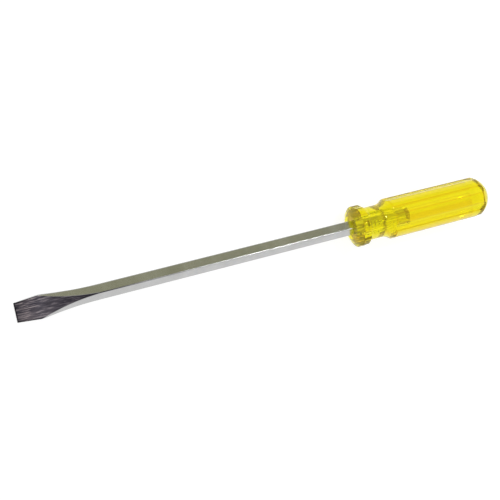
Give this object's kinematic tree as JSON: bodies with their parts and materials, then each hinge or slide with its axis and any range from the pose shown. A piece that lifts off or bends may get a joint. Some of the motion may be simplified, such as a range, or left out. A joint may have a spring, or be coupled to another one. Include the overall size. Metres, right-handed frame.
{
  "type": "slotted screwdriver",
  "caption": "Heavy slotted screwdriver: square steel shank with a flared keystone tip, its toothed tang pressed into a fluted clear acetate handle.",
  "frame": {"origin": "middle of the tip's end face, the working point that stands on the bottom of a screw's slot", "axes": "+X runs back along the tool's axis to the handle; +Z is the side of the tip's upper ground flat, so the tip's width lies along Y and the shank's faces lie at 45 degrees"},
  "size_m": [0.3766, 0.031, 0.0307],
  "materials": {
    "blade_steel": "dull bright plating on drawn steel, ground bare at the tip",
    "handle_acetate": "clear yellow, polished"
  },
  "bodies": {
    "root": {"blade": "blade_steel", "handle": "handle_acetate"}
  },
  "joints": []
}
